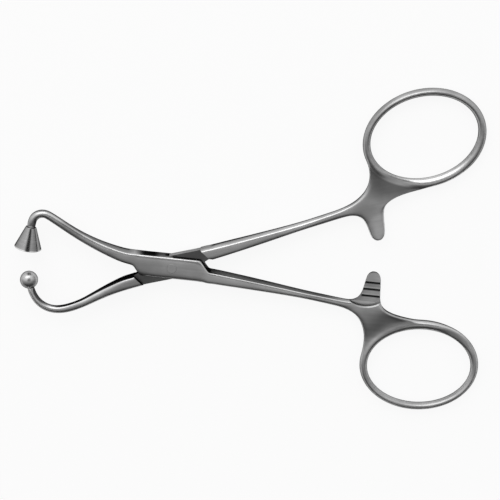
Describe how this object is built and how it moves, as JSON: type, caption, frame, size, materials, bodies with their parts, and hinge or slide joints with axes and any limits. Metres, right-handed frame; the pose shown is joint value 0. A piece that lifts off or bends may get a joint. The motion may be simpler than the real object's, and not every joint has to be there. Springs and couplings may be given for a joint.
{
  "type": "towel clamp",
  "caption": "Ring-handled surgical towel clamp with a box lock, hooked jaws that end in a ball and a conical socket, and a ratchet.",
  "frame": {"origin": "on the axis of the lock's pin, at the flat back face of the box", "axes": "+X from the lock to the finger rings, +Y towards the ring of the blade half, +Z out of the front face of the box"},
  "size_m": [0.1089, 0.0789, 0.0063],
  "materials": {
    "satin_steel": "satin",
    "ground_steel": "fine ground",
    "polished_steel": "mirror polished"
  },
  "bodies": {
    "box_side": {"box_half": "satin_steel", "joint_pin": "ground_steel", "socket_cup": "satin_steel"},
    "blade_side": {"blade_half": "satin_steel", "ball_tip": "polished_steel"}
  },
  "joints": [
    {"name": "box_lock", "type": "hinge", "parent": "box_side", "child": "blade_side", "pos_m": [0, 0, 0.00195], "axis": [0, 0, 1], "range_deg": [-15.4, 41]}
  ]
}
